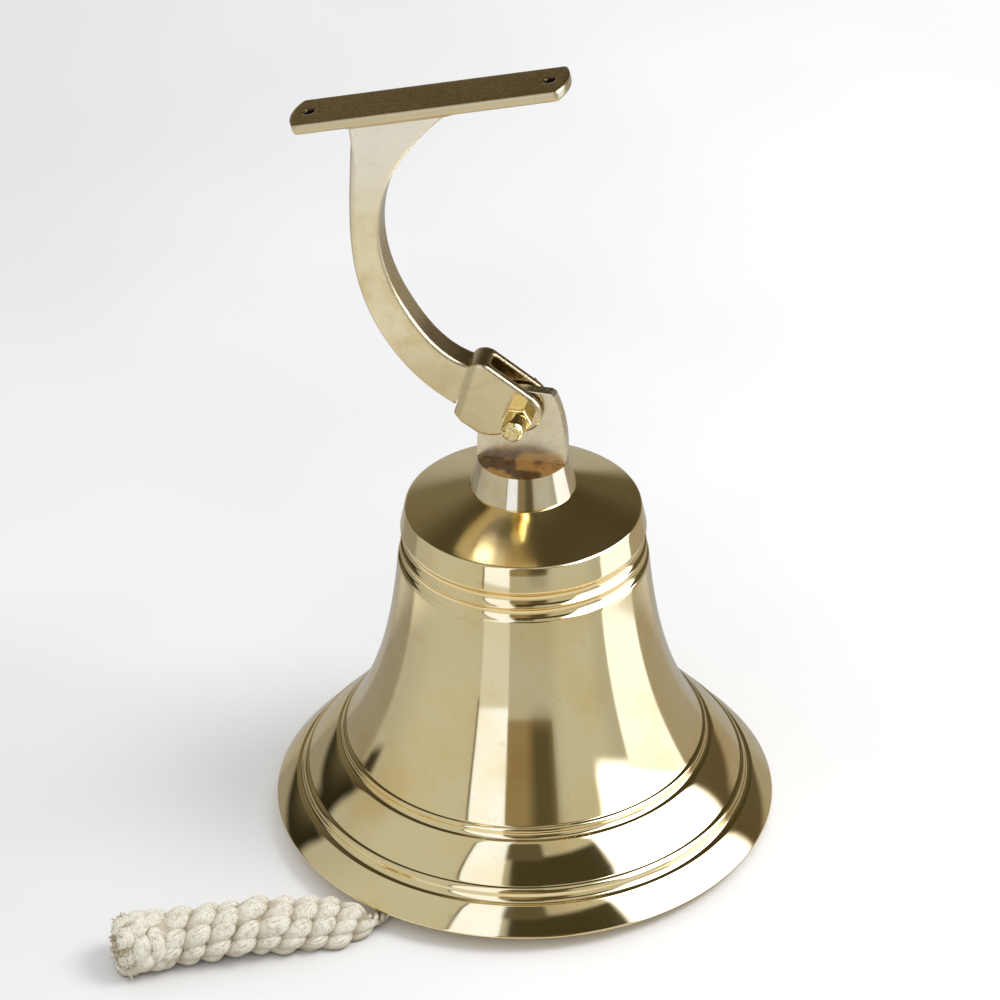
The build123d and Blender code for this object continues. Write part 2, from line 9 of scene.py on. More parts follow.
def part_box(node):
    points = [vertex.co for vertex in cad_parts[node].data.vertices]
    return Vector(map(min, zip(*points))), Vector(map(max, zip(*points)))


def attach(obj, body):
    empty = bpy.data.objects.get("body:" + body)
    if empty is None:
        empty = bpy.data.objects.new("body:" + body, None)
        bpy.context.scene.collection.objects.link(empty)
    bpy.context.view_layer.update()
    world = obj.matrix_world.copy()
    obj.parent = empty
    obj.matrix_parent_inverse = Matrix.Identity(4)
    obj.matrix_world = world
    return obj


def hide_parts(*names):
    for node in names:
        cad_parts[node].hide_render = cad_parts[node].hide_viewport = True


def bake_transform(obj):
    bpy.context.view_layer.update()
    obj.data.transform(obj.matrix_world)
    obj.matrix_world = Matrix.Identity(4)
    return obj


# An eight-inch brass ship bell on its pivoting bracket, with a cotton sennit lanyard, standing on
# a pale studio floor. Everything is in metres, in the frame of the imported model: the origin is on
# the bell's axis in the plane of its mouth, +Z is up.

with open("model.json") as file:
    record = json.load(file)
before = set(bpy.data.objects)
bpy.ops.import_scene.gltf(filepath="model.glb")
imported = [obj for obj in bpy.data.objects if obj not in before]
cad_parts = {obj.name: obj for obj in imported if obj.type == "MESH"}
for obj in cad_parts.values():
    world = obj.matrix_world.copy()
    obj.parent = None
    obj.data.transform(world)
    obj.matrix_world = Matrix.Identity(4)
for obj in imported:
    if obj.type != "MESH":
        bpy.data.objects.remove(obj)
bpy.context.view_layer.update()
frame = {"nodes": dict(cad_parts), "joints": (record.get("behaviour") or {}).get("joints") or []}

MM = 0.001
UP = (0, 0, 1)
random = np.random.default_rng(8)

# ---- where things are, from the frame ----------------------------------------------------------

joints = {joint["name"]: joint for joint in frame["joints"]}


def centre(node):
    """Centre of a CAD node's box."""
    low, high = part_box(node)
    return np.array((low + high) / 2)


def unit(v):
    """A vector, or each row of several, at length 1."""
    v = np.array(v, float)
    return v / np.linalg.norm(v, axis=-1, keepdims=True)


tail_eye = np.array(joints["lanyard_swing"]["pos_m"])
bend = np.array(joints["lanyard_bend"]["pos_m"])
flex = np.array(joints["lanyard_flex"]["pos_m"])
neck_way = unit(centre("rope_loop") - tail_eye)
upper_way = unit(flex - bend)
lower_way = unit(centre("rope_end_knot") - flex)
upper_length = np.linalg.norm(flex - bend)
mouth_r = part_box("bell_body")[1].x

# ---- lanyard dimensions ------------------------------------------------------------------------

LOOP_R = np.linalg.norm(centre("rope_loop") - tail_eye)
LOOP_CORD_R = 2.4 * MM
WHIPPING_R = 4.6 * MM
WHIPPING_L = 9.0 * MM
TWINE_R = 0.5 * MM
NECK_R = 2.9 * MM
KNEE_R = 92 * MM             # where the neck turns outwards, from the bell's axis
KNEE_Z = -4.2 * MM
LAID_PITCH = 1.1 * MM        # along a laid strand, between one yarn and the next
LAID_RELIEF = 0.12 * MM
SENNIT_R = 12.8 * MM
SAG = 1.3 * MM               # how far the soft rope lies under its middle line
SAG_AT = 25 * MM             # distance from the bend at which it lies that far down
SOFT_TURN = 8 * MM           # half the length over which it turns at the flex joint
FULL_AT = 19 * MM            # distance from the bend at which the sennit has its full size
KNOT_HALF = 10.5 * MM
LOWER_LENGTH = np.linalg.norm(centre("rope_end_knot") - flex) + KNOT_HALF
ROPE_LENGTH = upper_length + LOWER_LENGTH
FIRST_CORD = 3 * MM          # the sennit's cords have their middles from here
LAST_CORD = ROPE_LENGTH - 15 * MM      # to here
RING_PITCH = 9.8 * MM        # along the sennit, between one ring of cords and the next
CORDS_AROUND = 8
CORD_R = 4.0 * MM
CORD_LENGTH = 13.5 * MM      # along the rope, from where a cord surfaces to where it dives
CORD_TURN = math.radians(50)
CORD_STEPS = 36              # rings of vertices along a cord
CORD_SIDES = 42              # vertices in each ring
YARN_PITCH = 1.7 * MM        # along a cord, between one yarn of its plait and the next
YARN_RELIEF = 0.26 * MM
CHEVRON_ROWS = 8             # round a cord
CHEVRON_LEAN = 2.6           # yarns from one end of a chevron to its point
WOBBLE = 0.6                 # how far, in yarns, the plait is out of true
WOBBLE_REACH = 1.3 * MM
KNOT_LENGTH = 24 * MM
KNOT_CORD_R = 4.2 * MM
KNOT_RINGS = (               # from the rope's end, cords in the ring, their height over the middle
    (15.5 * MM, 8, 12.7 * MM),
    (9.6 * MM, 8, 13.0 * MM),
    (4.8 * MM, 7, 12.4 * MM),
)
LOOSE_YARNS = 1500


# ---- mesh helpers ------------------------------------------------------------------------------

def make_object(name, verts, faces, attributes=None, uv=None):
    """A smooth-shaded mesh object, with float attributes per vertex and UVs per vertex."""
    mesh = bpy.data.meshes.new(name)
    mesh.from_pydata([tuple(v) for v in verts], [], [tuple(f) for f in faces])
    mesh.validate()
    mesh.polygons.foreach_set("use_smooth", [True] * len(mesh.polygons))
    for key, values in (attributes or {}).items():
        layer = mesh.attributes.new(key, "FLOAT", "POINT")
        layer.data.foreach_set("value", np.asarray(values, np.float32))
    if uv is not None:
        layer = mesh.uv_layers.new(name="UVMap")
        loops = np.zeros(len(mesh.loops), np.int64)
        mesh.loops.foreach_get("vertex_index", loops)
        layer.data.foreach_set("uv", np.asarray(uv, np.float32)[loops].ravel())
    obj = bpy.data.objects.new(name, mesh)
    bpy.context.scene.collection.objects.link(obj)
    return obj


def path_frames(points):
    """Tangent, side and top unit vectors along a polyline, carried without twist."""
    tangents = unit(np.gradient(points, axis=0))
    side = np.cross(tangents[0], UP)
    if np.linalg.norm(side) < 1e-6:
        side = np.cross(tangents[0], (1, 0, 0))
    sides = []
    for tangent in tangents:
        side = unit(side - tangent * (side @ tangent))
        sides.append(side)
    sides = np.array(sides)
    return tangents, sides, np.cross(sides, tangents)


def outward_frames(points, outward):
    """Frames for a cord laid on the rope: its seam, at angle 0, faces the rope's middle."""
    tangents = unit(np.gradient(points, axis=0))
    sides = unit(tangents * np.sum(tangents * outward, axis=1)[:, None] - outward)
    return tangents, sides, np.cross(sides, tangents)


def cross_axes(way):
    """Level and upward unit vectors square to a way, or to each of several."""
    side = unit(np.cross(way, UP))
    return side, np.cross(side, way)


def turned(angle, side, top):
    """Unit vectors at angles round a line, counted from its side axis towards its top axis."""
    return np.cos(angle)[:, None] * side + np.sin(angle)[:, None] * top


def step(low, high, x):
    """Smooth step from 0 at low to 1 at high."""
    t = np.clip((x - low) / (high - low), 0, 1)
    return t * t * (3 - 2 * t)


def bezier(a, b, c, d, count):
    """Points of a cubic curve from a to d."""
    t = np.linspace(0, 1, count)[:, None]
    return (1 - t) ** 3 * a + 3 * (1 - t) ** 2 * t * b + 3 * (1 - t) * t ** 2 * c + t ** 3 * d


class Tubes:
    """Collects round tubes into one mesh."""

    def __init__(self):
        self.verts = []
        self.faces = []
        self.uvs = []
        self.tones_and_shades = []
        self.count = 0

    def add(self, points, radii, around, tone_and_shade, frames=None, relief=None, closed=False):
        """A tube along points, capped or closed on itself.

        relief(u, v) is added to the radius, at the distance u along the tube and the angle v.
        tone sets the cotton's colour, mostly as painted shade: low where the yarn lies deep, up to
        1 where it stands proud; above 1 it marks a loose yarn."""
        tangents, sides, tops = frames or path_frames(points)
        n = len(points)
        along = np.r_[0, np.cumsum(np.linalg.norm(np.diff(points, axis=0), axis=1))]
        v = np.arange(around) * 2 * math.pi / around
        radius = np.repeat(np.broadcast_to(radii, n)[:, None], around, axis=1)
        if relief is not None:
            radius = radius + relief(along[:, None], v[None, :])
        ring = (
            points[:, None]
            + sides[:, None] * (np.cos(v)[None, :, None] * radius[..., None])
            + tops[:, None] * (np.sin(v)[None, :, None] * radius[..., None])
        )
        self.verts.append(ring.reshape(-1, 3))
        uv = np.stack(np.broadcast_arrays(along[:, None], v[None, :]), axis=-1)
        self.uvs.append(uv.reshape(-1, 2))
        self.tones_and_shades.append(np.repeat(np.broadcast_to(tone_and_shade, n), around))
        rows = n if closed else n - 1
        for i in range(rows):
            a = self.count + i * around
            b = self.count + (i + 1) % n * around
            for j in range(around):
                k = (j + 1) % around
                self.faces.append((a + j, a + k, b + k, b + j))
        if not closed:
            self.faces.append(tuple(self.count + j for j in reversed(range(around))))
            last = self.count + (n - 1) * around
            self.faces.append(tuple(last + j for j in range(around)))
        self.count += n * around

    def build(self, name):
        verts = np.concatenate(self.verts)
        tones_and_shades = np.concatenate(self.tones_and_shades)
        return make_object(name, verts, self.faces, {"tone_and_shade": tones_and_shades}, np.concatenate(self.uvs))


# ---- the sennit --------------------------------------------------------------------------------

def sennit_point(s):
    """Centre line of the sennit at distances s from the bend."""
    s = np.asarray(s, float)
    turn = step(upper_length - SOFT_TURN, upper_length + SOFT_TURN, s)
    upper = bend + np.outer(s, upper_way)
    lower = flex + np.outer(s - upper_length, lower_way)
    sag = np.outer(step(0, SAG_AT, s), (0, 0, -SAG))
    return upper * (1 - turn)[:, None] + lower * turn[:, None] + sag


def sennit_radius(s):
    """Radius of the sennit's envelope at distances s from the bend."""
    rise = np.sin(np.clip((s + 1 * MM) / (FULL_AT + 1 * MM), 0, 1) * math.pi / 2)
    start = NECK_R + 1 * MM
    return start + (SENNIT_R - start) * rise


def herringbone(depth):
    """Relief of a plaited cord: yarns that meet in chevrons, in rows round the cord."""
    def relief(u, v):
        lean = 1 - np.abs((v * CHEVRON_ROWS / (2 * math.pi)) % 2 - 1)
        phase = u / YARN_PITCH + CHEVRON_LEAN * lean + WOBBLE * np.sin(u / WOBBLE_REACH + 2 * v)
        yarn = np.abs(np.sin(math.pi * phase))
        return depth * (np.minimum(yarn ** 0.8, 0.95) - 0.6)
    return relief


def sennit_cord(tubes, s0, angle, size, lift):
    """One visible cord of the sennit: it surfaces, runs slantwise and dives under the next."""
    u = np.linspace(0, 1, CORD_STEPS)
    s = s0 + (0.5 - u) * CORD_LENGTH * size
    envelope = sennit_radius(s)
    cord = CORD_R * (envelope / SENNIT_R)
    middle = sennit_point(s)
    side, top = cross_axes(unit(sennit_point(s + 0.5 * MM) - middle))
    outward = turned(angle - (u - 0.45) * CORD_TURN, side, top)
    sink = 1.25 * (1 - u) ** 1.6 + 1.15 * step(0.60, 1.0, u) ** 1.3
    points = middle + outward * (envelope - cord * (1 + sink) + lift)[:, None]
    taper = np.sqrt(np.clip(1 - np.abs(2 * u - 1) ** 4, 0.02, 1))
    # painted shade: the cord darkens where it sinks under its neighbours
    tone_and_shade = np.clip(1 - sink, 0, 1)
    frames = outward_frames(points, outward)
    tubes.add(points, cord * taper * size, CORD_SIDES, tone_and_shade, frames, herringbone(YARN_RELIEF))


def sennit(tubes, s_from, s_to):
    """All the cords whose middle lies between two distances from the bend."""
    for ring in range(-2, int(ROPE_LENGTH / RING_PITCH) + 3):
        for column in range(CORDS_AROUND):
            angle = 2 * math.pi * column / CORDS_AROUND + 0.35
            s0 = (ring + 0.25 * column) * RING_PITCH + 6 * MM
            jitter = random.normal(0, 1, 4)
            if FIRST_CORD < s0 < LAST_CORD and s_from <= s0 < s_to:
                sennit_cord(
                    tubes, s0 + jitter[0] * 0.35 * MM, angle + jitter[1] * 0.05,
                    1 + jitter[2] * 0.035, jitter[3] * 0.25 * MM,
                )


def core(tubes, s_from, s_to):
    """The cords inside the sennit, seen only in the gaps between the outer ones, painted in full
    shade.
    """
    s = np.linspace(s_from, s_to, 60)
    radii = sennit_radius(s) - 1.15 * CORD_R * sennit_radius(s) / SENNIT_R
    tubes.add(sennit_point(s), radii, 24, 0.0, relief=herringbone(0.25 * MM))


# ---- neck, loop and whipping -------------------------------------------------------------------

def neck_line():
    """Centre line of the neck, from the whipping to inside the sennit's taper."""
    start = tail_eye + neck_way * (2 * LOOP_R + LOOP_CORD_R + WHIPPING_L - 2 * MM)
    end = bend + upper_way * 5 * MM
    level = unit((upper_way[0], upper_way[1], 0))
    outward = unit((bend[0], bend[1], 0))
    knee = outward * KNEE_R + np.array((0, 0, KNEE_Z))
    first = bezier(start, start + neck_way * 9 * MM, knee - outward * 8 * MM, knee, 30)
    second = bezier(knee, knee + outward * 5 * MM, end - level * 8 * MM, end, 30)
    return np.concatenate([first, second[1:]])


def laid_yarn(u, v):
    """Relief of a laid strand: yarns that run slantwise round it."""
    return LAID_RELIEF * (np.abs(np.sin(math.pi * u / LAID_PITCH + v)) - 0.5)


def laid_strands(tubes, points, overall_r, turns, tone_and_shade, closed=False):
    """Three strands twisted round a centre line, as in laid rope."""
    n = len(points)
    if closed:
        wrapped = np.concatenate([points[-2:], points, points[:2]])
        frames = tuple(axes[2:-2] for axes in path_frames(wrapped))
        u = np.arange(n) / n
    else:
        frames = path_frames(points)
        u = np.linspace(0, 1, n)
    strand_r = overall_r / 2
    for k in range(3):
        offset = turned(2 * math.pi * (turns * u + k / 3), *frames[1:])
        line = points + offset * (overall_r - strand_r)
        tubes.add(line, strand_r, 16, tone_and_shade, frames, laid_yarn, closed)


def make_loop():
    """The loop through the clapper's tail ring."""
    angles = np.arange(120) * 2 * math.pi / 120
    width_way = unit(joints["lanyard_swing"]["axis"])
    points = tail_eye + LOOP_R * (neck_way + turned(angles, neck_way, width_way))
    tubes = Tubes()
    laid_strands(tubes, points, LOOP_CORD_R, 7, 0.8, closed=True)
    return tubes.build("lanyard_loop")


def make_whipping():
    """Twine wound tightly round the neck of the loop."""
    start = tail_eye + neck_way * (2 * LOOP_R + LOOP_CORD_R)
    turns = WHIPPING_L / (2 * TWINE_R * 0.98)
    u = np.linspace(0, 1, int(turns * 40))
    swell = WHIPPING_R - TWINE_R - 0.5 * MM * np.abs(2 * u - 1) ** 3
    points = (
        start + np.outer(u * (WHIPPING_L - 2 * TWINE_R) + TWINE_R, neck_way)
        + turned(2 * math.pi * turns * u, *cross_axes(neck_way)) * swell[:, None]
    )
    tubes = Tubes()
    tubes.add(points, TWINE_R, 8, 0.9)
    # the neck under the twine, seen between its turns, mostly in painted shade
    inner = start + np.outer(np.linspace(0, WHIPPING_L, 12), neck_way)
    tubes.add(inner, WHIPPING_R - 1.4 * TWINE_R, 24, 0.3)
    return tubes.build("lanyard_whipping")


# ---- the end knot ------------------------------------------------------------------------------

def tucked_cord(tubes, from_end, angle, lift):
    """One of the knot's cords, short, thick and turned its own way."""
    w = np.linspace(0, 1, CORD_STEPS)
    turn = random.uniform(-0.2, 1.1)
    size = random.uniform(0.9, 1.12)
    reach = 5.4 * MM * size
    theta = angle - (w - 0.5) * 2 * reach / (10 * MM) * math.cos(turn)
    place = ROPE_LENGTH - from_end + (0.5 - w) * 2 * reach * math.sin(turn)
    outward = turned(theta, *cross_axes(lower_way))
    sink = np.abs(2 * w - 1) ** 2.2 * 3.4 * MM
    height = lift - KNOT_CORD_R * size - sink + random.normal(0, 0.35 * MM)
    middle = sennit_point(np.minimum(place, ROPE_LENGTH - 3 * MM))
    points = middle + outward * height[:, None]
    taper = np.sqrt(np.clip(1 - np.abs(2 * w - 1) ** 3.5, 0.02, 1))
    # a random tone, darkened by painted shade where the cord sinks
    tone_and_shade = random.uniform(0.65, 0.95) * np.clip(1 - sink / (5 * MM), 0, 1)
    frames = outward_frames(points, outward)
    tubes.add(
        points, KNOT_CORD_R * size * taper, CORD_SIDES, tone_and_shade, frames, herringbone(YARN_RELIEF))


def loose_yarn(tubes):
    """One chopped yarn: a short tuft on the knot's rounded end face. Its tone is above 1."""
    ring = math.sqrt(random.uniform(0, 1))
    angle = np.array([random.uniform(0, 2 * math.pi)])
    outward = turned(angle, *cross_axes(lower_way))[0]
    dome = math.sqrt(1 - 0.8 * ring * ring)
    base = sennit_point([ROPE_LENGTH - 2.6 * MM])[0] + outward * ring * 10.6 * MM
    base = base + lower_way * (dome - 0.7) * 6.0 * MM
    ahead = lower_way * random.uniform(0.0, 0.5)
    spread = unit(ahead + outward * ring * 0.6 + random.normal(0, 0.9, 3))
    length = random.uniform(1.0, 2.2) * MM
    w = np.linspace(0, 1, 6)
    curl = random.normal(0, 1, 3) * length * 0.5
    points = base + np.outer(w * length, spread) + np.outer(w ** 2, curl)
    radii = random.uniform(0.3, 0.5) * MM * np.array((1, 1.1, 1.1, 1, 0.9, 0.6))
    tubes.add(points, radii, 6, random.uniform(1.2, 1.9))


def make_end_knot():
    """The last cords tucked over a rounded body, then the chopped ends of all the yarns."""
    tubes = Tubes()
    # the knot's rounded body, seen between the tucked cords, half in painted shade
    s = np.linspace(ROPE_LENGTH - KNOT_LENGTH, ROPE_LENGTH - 1 * MM, 40)
    radii = 9.6 * MM * np.sqrt(np.clip(1 - np.linspace(0, 1, 40) ** 7, 0.05, 1))
    tubes.add(sennit_point(s), radii, 72, 0.35, relief=herringbone(0.2 * MM))
    for row, (from_end, count, lift) in enumerate(KNOT_RINGS):
        for k in range(count):
            angle = 2 * math.pi * (k + 0.5 * (row > 0)) / count + random.normal(0, 0.12)
            tucked_cord(tubes, from_end, angle, lift)
    for _ in range(LOOSE_YARNS):
        loose_yarn(tubes)
    return tubes.build("lanyard_end_knot")


# ---- the bell ----------------------------------------------------------------------------------
# The outline is in millimetres, (radius, height), and its runs go up the outside and down the
# inside. Each corner comes with how far the run up to it bows out of straight, 0 for a straight
# run, and the number of points on that run.

BELL_STEPS = 320             # round the bell
POLISH_STEP = 0.1            # between the points that the polishing works on
POLISH_R = 0.3               # how far it rounds a crease
MAX_BEND = 0.054             # sine of the turn between one ring of vertices and the next
MAX_GAP = 3.0                # between one ring of vertices and the next
WALL = 4.5
WAIST_FOOT_Z = 33.3
WAIST_TOP_Z = 115.8
BAND_TOP_Z = 138.5
INNER_LIP = (97.0, 0)
OUTER_LIP = (101.0, 0)
CROWN_TOP = (21.2, 148.1)
ROOF = (38.0, 134.0)
SEAT_Z = 142.1               # of the clamp washer, inside


def waist_radius(z):
    """Outer radius of the waist, a flare that dies away upwards."""
    return 46.3 + 26.1 * np.exp(-(z - WAIST_FOOT_Z) / 42.0)


WAIST_FOOT = (waist_radius(WAIST_FOOT_Z), WAIST_FOOT_Z)
WAIST_TOP = (waist_radius(WAIST_TOP_Z), WAIST_TOP_Z)
SKIRT = (
    ((101.5, 0.6), 0, 2),
    ((92.9, 10.1), -0.35, 12),       # lip
    ((90.2, 13.3), 1.1, 14),         # lower bead
    ((88.0, 15.6), -0.6, 12),
    ((76.2, 28.9), -0.55, 16),       # skirt
    ((74.1, 31.9), 1.1, 14),         # upper bead
    (WAIST_FOOT, -0.45, 10),
)
SHOULDER = (
    ((49.1, 121.6), 1.5, 14),        # the two beads at the neck
    ((48.7, 128.0), 1.8, 14),
    ((48.9, 128.9), 0, 2),
    ((46.9, BAND_TOP_Z), 0, 2),      # plain band
    ((46.3, 138.9), 0, 2),
    (CROWN_TOP, 0, 2),
)


def sagitta_arc(start, end, sagitta, count):
    """Points of an arc between two points; a positive sagitta bows to the left of its way."""
    start, end = np.array(start), np.array(end)
    half = np.linalg.norm(end - start) / 2
    ahead = (end - start) / (2 * half)
    left = np.array((-ahead[1], ahead[0]))
    radius = (half ** 2 + sagitta ** 2) / (2 * abs(sagitta))
    reach = math.asin(half / radius)
    angle = np.linspace(-reach, reach, count)[:, None]
    bow = (np.cos(angle) - math.cos(reach)) * radius * math.copysign(1, sagitta)
    return (start + end) / 2 + ahead * np.sin(angle) * radius + left * bow


def outline_runs(start, corners):
    """The runs of points from a start through the corners."""
    runs = []
    for corner, bow, count in corners:
        runs.append(sagitta_arc(start, corner, bow, count) if bow else np.array((start, corner)))
        start = corner
    return runs


def outside_runs():
    """Up the outside, from the lip to the crown's top."""
    waist_z = np.linspace(WAIST_FOOT_Z, WAIST_TOP_Z, 48)
    waist = np.column_stack([waist_radius(waist_z), waist_z])
    return [*outline_runs(OUTER_LIP, SKIRT), waist, *outline_runs(WAIST_TOP, SHOULDER)]


def inside_runs():
    """From the crown's top through the stud's hole and the washer's seat, then down to the lip."""
    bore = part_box("hanger_stud")[1].x / MM + 0.4
    seat = ((bore, CROWN_TOP[1]), (bore, SEAT_Z), (15.5, SEAT_Z), ROOF)
    inner_z = np.linspace(122.0, 40.0, 22)
    inner = np.column_stack([waist_radius(inner_z) - WALL, inner_z])
    roof = bezier(np.array(ROOF), np.array((43.0, 132.2)), inner[0] + (0, 4.0), inner[0], 10)
    mouth = bezier(
        inner[-1], inner[-1] + (6.9, -11.5), np.array((87.0, 9.5)), np.array(INNER_LIP), 12)
    wall = np.concatenate([roof, inner[1:], mouth[1:]])
    return [*outline_runs(CROWN_TOP, [(corner, 0, 2) for corner in seat]), wall]


def polished_off(runs):
    """One smooth run from several: creases rounded as by years of polishing."""
    points = np.concatenate([runs[0]] + [run[1:] for run in runs[1:]])
    along = np.r_[0, np.cumsum(np.linalg.norm(np.diff(points, axis=0), axis=1))]
    even = np.arange(0, along[-1], POLISH_STEP)
    dense = np.column_stack([np.interp(even, along, points[:, i]) for i in (0, 1)])
    reach = int(3 * POLISH_R / POLISH_STEP)
    weights = np.exp(-0.5 * (np.arange(-reach, reach + 1) * POLISH_STEP / POLISH_R) ** 2)
    weights /= weights.sum()
    smooth = dense.copy()
    for i in (0, 1):
        smooth[reach:-reach, i] = np.convolve(dense[:, i], weights, "valid")
    kept = [smooth[0]]
    heading = smooth[1] - smooth[0]
    for before, here in zip(smooth, smooth[1:]):
        way = here - before
        turn = abs(heading[0] * way[1] - heading[1] * way[0])
        turn /= np.linalg.norm(heading) * np.linalg.norm(way)
        if turn > MAX_BEND or np.linalg.norm(here - kept[-1]) > MAX_GAP:
            kept.append(here)
            heading = way
    kept.append(points[-1])
    return np.array(kept)


def make_bell():
    """The turned bell as a fine lathe mesh, creased where two runs of its outline meet."""
    verts = []
    faces = []
    around = turned(np.arange(BELL_STEPS) * 2 * math.pi / BELL_STEPS, (1, 0, 0), (0, 1, 0))
    for run in ((INNER_LIP, OUTER_LIP), polished_off(outside_runs()), *inside_runs()):
        for row, (radius, height) in enumerate(run):
            verts.append(around * radius * MM + (0, 0, height * MM))
            if row == 0:
                continue
            b = (len(verts) - 1) * BELL_STEPS
            a = b - BELL_STEPS
            for i in range(BELL_STEPS):
                k = (i + 1) % BELL_STEPS
                faces.append((a + i, a + k, b + k, b + i))
    return make_object("polished_bell", np.concatenate(verts), faces)


# ---- shader helpers ----------------------------------------------------------------------------

class Shader:
    """Short names for building a node tree."""

    def __init__(self, tree):
        self.tree = tree
        tree.nodes.clear()

    def node(self, kind, inputs=None, **settings):
        made = self.tree.nodes.new(kind)
        for key, value in settings.items():
            setattr(made, key, value)
        for key, value in (inputs or {}).items():
            socket = made.inputs[key]
            if isinstance(value, bpy.types.NodeSocket):
                self.tree.links.new(value, socket)
            else:
                socket.default_value = value
        return made

    def math(self, operation, a, b=0.0):
        return self.node("ShaderNodeMath", {0: a, 1: b}, operation=operation).outputs[0]

    def times(self, *factors):
        product = factors[0]
        for factor in factors[1:]:
            product = self.math("MULTIPLY", product, factor)
        return product

    def plus(self, *terms):
        total = terms[0]
        for term in terms[1:]:
            total = self.math("ADD", total, term)
        return total

    def vector(self, operation, a, b=(0, 0, 0)):
        made = self.node("ShaderNodeVectorMath", {0: a, 1: b}, operation=operation)
        scalar = operation in ("LENGTH", "DOT_PRODUCT")
        return made.outputs["Value"] if scalar else made.outputs["Vector"]

    def scaled(self, vector, x, y, z):
        return self.vector("MULTIPLY", vector, (x, y, z))

    def component(self, vector, axis):
        return self.node("ShaderNodeSeparateXYZ", {0: vector}).outputs[axis]

    def ramp(self, x, low, high, out_low=0.0, out_high=1.0):
        made = self.node(
            "ShaderNodeMapRange",
            {"Value": x, "From Min": low, "From Max": high, "To Min": out_low, "To Max": out_high},
            interpolation_type="SMOOTHSTEP",
        )
        return made.outputs["Result"]

    def mix(self, factor, a, b):
        """Colour a where the factor is 0 and b where it is 1."""
        colours = {
            index: value if isinstance(value, bpy.types.NodeSocket) else (*value, 1)
            for index, value in ((6, a), (7, b))
        }
        return self.node("ShaderNodeMix", {0: factor, **colours}, data_type="RGBA").outputs[2]

    def choose(self, factor, a, b):
        """Value a where the factor is 0 and b where it is 1."""
        return self.node("ShaderNodeMix", {0: factor, 2: a, 3: b}, data_type="FLOAT").outputs[0]

    def noise(self, vector, scale, detail=3.0, rough=0.55, distortion=0.0):
        made = self.node(
            "ShaderNodeTexNoise",
            {"Vector": vector, "Scale": scale, "Detail": detail, "Roughness": rough,
             "Distortion": distortion},
        )
        return made.outputs["Fac"]

    def bump(self, height, distance, **normal):
        inputs = {"Height": height, "Distance": distance, **normal}
        return self.node("ShaderNodeBump", inputs).outputs["Normal"]

    def occlusion(self, distance):
        inputs = {"Distance": distance}
        return self.node("ShaderNodeAmbientOcclusion", inputs, samples=6).outputs["AO"]

    def position(self):
        return self.node("ShaderNodeTexCoord").outputs["Object"]

    def true_normal(self):
        """The flat normal of the face, in the object's own axes."""
        made = self.node(
            "ShaderNodeVectorTransform",
            {0: self.node("ShaderNodeNewGeometry").outputs["True Normal"]},
            vector_type="NORMAL", convert_from="WORLD", convert_to="OBJECT",
        )
        return made.outputs[0]

    def lathe(self, xyz):
        """Distance from the bell's axis and height, for marks that run round the bell."""
        radius = self.vector("LENGTH", self.scaled(xyz, 1, 1, 0))
        height = self.component(xyz, "Z")
        return self.node("ShaderNodeCombineXYZ", {0: radius, 1: height}).outputs[0]


def new_material(name):
    material = bpy.data.materials.new(name)
    material.use_nodes = True
    return material, Shader(material.node_tree)


def finish_material(s, **inputs):
    keys = {key.replace("_", " "): value for key, value in inputs.items()}
    principled = s.node("ShaderNodeBsdfPrincipled", keys)
    s.node("ShaderNodeOutputMaterial", {"Surface": principled.outputs[0]})


def finish_metal(s, colour, rough, height, distance=0.02 * MM, **normal):
    finish_material(s, Base_Color=colour, Metallic=1.0, Roughness=rough,
                    Normal=s.bump(height, distance, **normal))


# ---- metals ------------------------------------------------------------------------------------

BRACKET_LEAN = math.radians(14)
PLATE_FACE = 137.3 * MM      # from the pivot to the mounting face
PLATE_T = 4.5 * MM
PLATE_CENTRE = -2.6 * MM     # of its length, from the pivot
SCREW_HALF_SPAN = 48 * MM
HANGER_COLLAR = 13.4 * MM    # height of the collar, up to the tongue
BRASS_PALE = (0.90, 0.715, 0.365)
BRASS_WARM = (0.86, 0.63, 0.27)
BRASS_DEEP = (0.62, 0.42, 0.15)


def polished_bell():
    """Mirror brass outside with fine turning marks; dull turned casting inside."""
    material, s = new_material("polished_brass_bell")
    xyz = s.position()
    lathe = s.lathe(xyz)
    height = s.component(xyz, "Z")
    radial = s.vector("NORMALIZE", s.scaled(xyz, 1, 1, 0))
    facing = s.vector("DOT_PRODUCT", radial, s.true_normal())
    band_top = BAND_TOP_Z * MM
    on_crown = s.ramp(height, band_top - 0.9 * MM, band_top - 0.5 * MM)
    outside = s.math("MAXIMUM", s.ramp(facing, -0.05, 0.02), on_crown)
    # colour: faint warm clouds and small lacquer spots
    clouds = s.noise(xyz, 28, 4, 0.6)
    spots = s.ramp(s.noise(xyz, 260, 2), 0.66, 0.74)
    colour = s.mix(s.ramp(clouds, 0.42, 0.72), BRASS_PALE, BRASS_WARM)
    colour = s.mix(s.times(spots, 0.25), colour, BRASS_DEEP)
    inner = s.mix(s.noise(lathe, 420, 3), (0.60, 0.44, 0.20), (0.33, 0.23, 0.10))
    colour = s.mix(outside, inner, colour)
    # turning marks: fine outside, coarse inside
    fine = s.noise(lathe, 5200, 2, 0.7)
    wide = s.noise(lathe, 900, 2)
    cast = s.noise(xyz, 700, 5, 0.7)
    ripple = s.noise(xyz, 38, 1)
    crown = s.ramp(height, band_top + 0.1 * MM, band_top + 0.7 * MM)
    polish = s.ramp(s.noise(xyz, 60, 4), 0.3, 0.8, 0.045, 0.085)
    rough = s.choose(outside, 0.42, s.plus(polish, s.times(crown, 0.075)))
    out_height = s.plus(
        s.times(fine, 0.05), s.times(ripple, 0.9), s.times(wide, 0.05), s.times(fine, crown, 0.22))
    in_height = s.plus(s.times(wide, 4.0), s.times(cast, 5.0))
    finish_metal(s, colour, rough, s.choose(outside, in_height, out_height))
    return material


